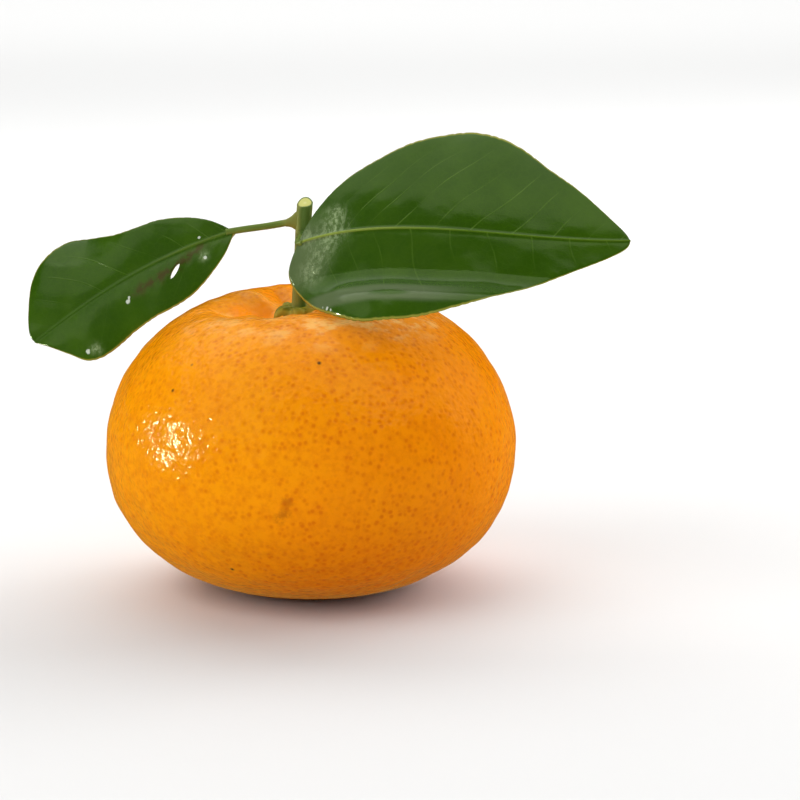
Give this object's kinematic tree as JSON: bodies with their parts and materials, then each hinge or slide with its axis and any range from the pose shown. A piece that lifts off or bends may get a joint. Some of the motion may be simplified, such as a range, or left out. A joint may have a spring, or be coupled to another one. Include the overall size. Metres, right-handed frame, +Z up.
{
  "type": "mandarin orange",
  "caption": "Whole flattened mandarin orange with a dimpled crown, calyx, short cut stem and glossy leaves, resting on its base.",
  "frame": {"origin": "middle of the small flat spot that the fruit rests on", "axes": "+Z up, +X to the right of the front view, along the longer leaf, and -Y towards the front view"},
  "size_m": [0.1009, 0.0685, 0.077],
  "materials": {
    "rind": "waxy orange rind with fine pits and darker oil gland dots",
    "calyx": "dull olive green calyx with a lighter edge",
    "twig": "dull green bark with a pale cut end",
    "leaf": "waxy dark green leaf with a yellow-green midrib and fine veins"
  },
  "bodies": {
    "root": {"fruit": "rind", "calyx": "calyx", "stem": "twig", "leaf_left": "leaf", "leaf_right": "leaf"}
  },
  "joints": []
}
